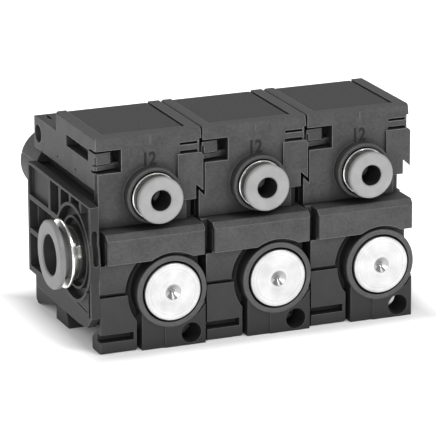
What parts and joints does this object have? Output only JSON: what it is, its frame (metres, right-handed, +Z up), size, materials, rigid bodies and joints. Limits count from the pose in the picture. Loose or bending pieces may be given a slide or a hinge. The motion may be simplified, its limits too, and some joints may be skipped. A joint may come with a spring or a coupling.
{
  "type": "directional control valve",
  "caption": "Air-piloted directional control valve block for a rail: stacked stations with push-in tube ports, round metal plungers and hooked rail latches.",
  "frame": {"origin": "on the plane that the feet stand on, under the middle station's pilot port axis, midway between the front panel and the rear foot face", "axes": "+X along the row of stations, away from the supply port; +Y from the pilot ports towards the outlet ports; +Z up from the feet"},
  "size_m": [0.0753, 0.0506, 0.043],
  "materials": {
    "body_plastic": "fine matt moulding",
    "housing_plastic": "fine matt moulding",
    "latch_plastic": "fine matt moulding",
    "end_plastic": "fine matt moulding",
    "inner_plastic": "plain moulding",
    "nickel": "bright nickel on brass",
    "ring_grey": "smooth satin moulding",
    "ring_mid_grey": "smooth satin moulding",
    "spring_steel": "spring steel",
    "rubber": "black rubber",
    "plunger_aluminium": "turned face, satin",
    "spool_aluminium": "turned"
  },
  "bodies": {
    "block": {"end_plate": "end_plastic", "blanking_plug": "inner_plastic", "gallery_nipple_1": "inner_plastic", "gallery_nipple_2": "inner_plastic", "supply_collar": "nickel", "supply_grip_ring": "spring_steel", "supply_seal": "rubber", "valve_body_1": "body_plastic", "pilot_housing_1": "housing_plastic", "gland_disc_1": "inner_plastic", "pilot_collar_1": "nickel", "pilot_grip_ring_1": "spring_steel", "pilot_seal_1": "rubber", "outlet_collar_1": "nickel", "outlet_grip_ring_1": "spring_steel", "outlet_seal_1": "rubber", "latch_spring_1": "spring_steel", "return_spring_1": "spring_steel", "valve_body_2": "body_plastic", "pilot_housing_2": "housing_plastic", "gland_disc_2": "inner_plastic", "pilot_collar_2": "nickel", "pilot_grip_ring_2": "spring_steel", "pilot_seal_2": "rubber", "outlet_collar_2": "nickel", "outlet_grip_ring_2": "spring_steel", "outlet_seal_2": "rubber", "latch_spring_2": "spring_steel", "return_spring_2": "spring_steel", "valve_body_3": "body_plastic", "pilot_housing_3": "housing_plastic", "gland_disc_3": "inner_plastic", "pilot_collar_3": "nickel", "pilot_grip_ring_3": "spring_steel", "pilot_seal_3": "rubber", "outlet_collar_3": "nickel", "outlet_grip_ring_3": "spring_steel", "outlet_seal_3": "rubber", "latch_spring_3": "spring_steel", "return_spring_3": "spring_steel"},
    "latch_1": {"rail_latch_1": "latch_plastic"},
    "spool_1": {"plunger_1": "plunger_aluminium", "spool_1": "spool_aluminium", "spool_seals_1": "rubber"},
    "pilot_ring_1": {"pilot_release_ring_1": "ring_grey"},
    "outlet_ring_1": {"outlet_release_ring_1": "ring_grey"},
    "latch_2": {"rail_latch_2": "latch_plastic"},
    "spool_2": {"plunger_2": "plunger_aluminium", "spool_2": "spool_aluminium", "spool_seals_2": "rubber"},
    "pilot_ring_2": {"pilot_release_ring_2": "ring_grey"},
    "outlet_ring_2": {"outlet_release_ring_2": "ring_grey"},
    "latch_3": {"rail_latch_3": "latch_plastic"},
    "spool_3": {"plunger_3": "plunger_aluminium", "spool_3": "spool_aluminium", "spool_seals_3": "rubber"},
    "pilot_ring_3": {"pilot_release_ring_3": "ring_grey"},
    "outlet_ring_3": {"outlet_release_ring_3": "ring_grey"},
    "supply_ring": {"supply_release_ring": "ring_mid_grey"}
  },
  "joints": [
    {"name": "latch_slide_1", "type": "slide", "parent": "block", "child": "latch_1", "axis": [0, -1, 0], "range_m": [0, 0.0025], "stiffness_N_per_m": 400, "deforming": ["latch_spring_1"]},
    {"name": "spool_slide_1", "type": "slide", "parent": "block", "child": "spool_1", "axis": [0, 1, 0], "range_m": [0, 0.0024], "stiffness_N_per_m": 600, "deforming": ["return_spring_1"]},
    {"name": "pilot_ring_slide_1", "type": "slide", "parent": "block", "child": "pilot_ring_1", "axis": [0, 1, 0], "range_m": [0, 0.001], "stiffness_N_per_m": 300},
    {"name": "outlet_ring_slide_1", "type": "slide", "parent": "block", "child": "outlet_ring_1", "axis": [0, -1, 0], "range_m": [0, 0.001], "stiffness_N_per_m": 300},
    {"name": "latch_slide_2", "type": "slide", "parent": "block", "child": "latch_2", "axis": [0, -1, 0], "range_m": [0, 0.0025], "stiffness_N_per_m": 400, "deforming": ["latch_spring_2"]},
    {"name": "spool_slide_2", "type": "slide", "parent": "block", "child": "spool_2", "axis": [0, 1, 0], "range_m": [0, 0.0024], "stiffness_N_per_m": 600, "deforming": ["return_spring_2"]},
    {"name": "pilot_ring_slide_2", "type": "slide", "parent": "block", "child": "pilot_ring_2", "axis": [0, 1, 0], "range_m": [0, 0.001], "stiffness_N_per_m": 300},
    {"name": "outlet_ring_slide_2", "type": "slide", "parent": "block", "child": "outlet_ring_2", "axis": [0, -1, 0], "range_m": [0, 0.001], "stiffness_N_per_m": 300},
    {"name": "latch_slide_3", "type": "slide", "parent": "block", "child": "latch_3", "axis": [0, -1, 0], "range_m": [0, 0.0025], "stiffness_N_per_m": 400, "deforming": ["latch_spring_3"]},
    {"name": "spool_slide_3", "type": "slide", "parent": "block", "child": "spool_3", "axis": [0, 1, 0], "range_m": [0, 0.0024], "stiffness_N_per_m": 600, "deforming": ["return_spring_3"]},
    {"name": "pilot_ring_slide_3", "type": "slide", "parent": "block", "child": "pilot_ring_3", "axis": [0, 1, 0], "range_m": [0, 0.001], "stiffness_N_per_m": 300},
    {"name": "outlet_ring_slide_3", "type": "slide", "parent": "block", "child": "outlet_ring_3", "axis": [0, -1, 0], "range_m": [0, 0.001], "stiffness_N_per_m": 300},
    {"name": "supply_ring_slide", "type": "slide", "parent": "block", "child": "supply_ring", "axis": [1, 0, 0], "range_m": [0, 0.001], "stiffness_N_per_m": 300}
  ]
}
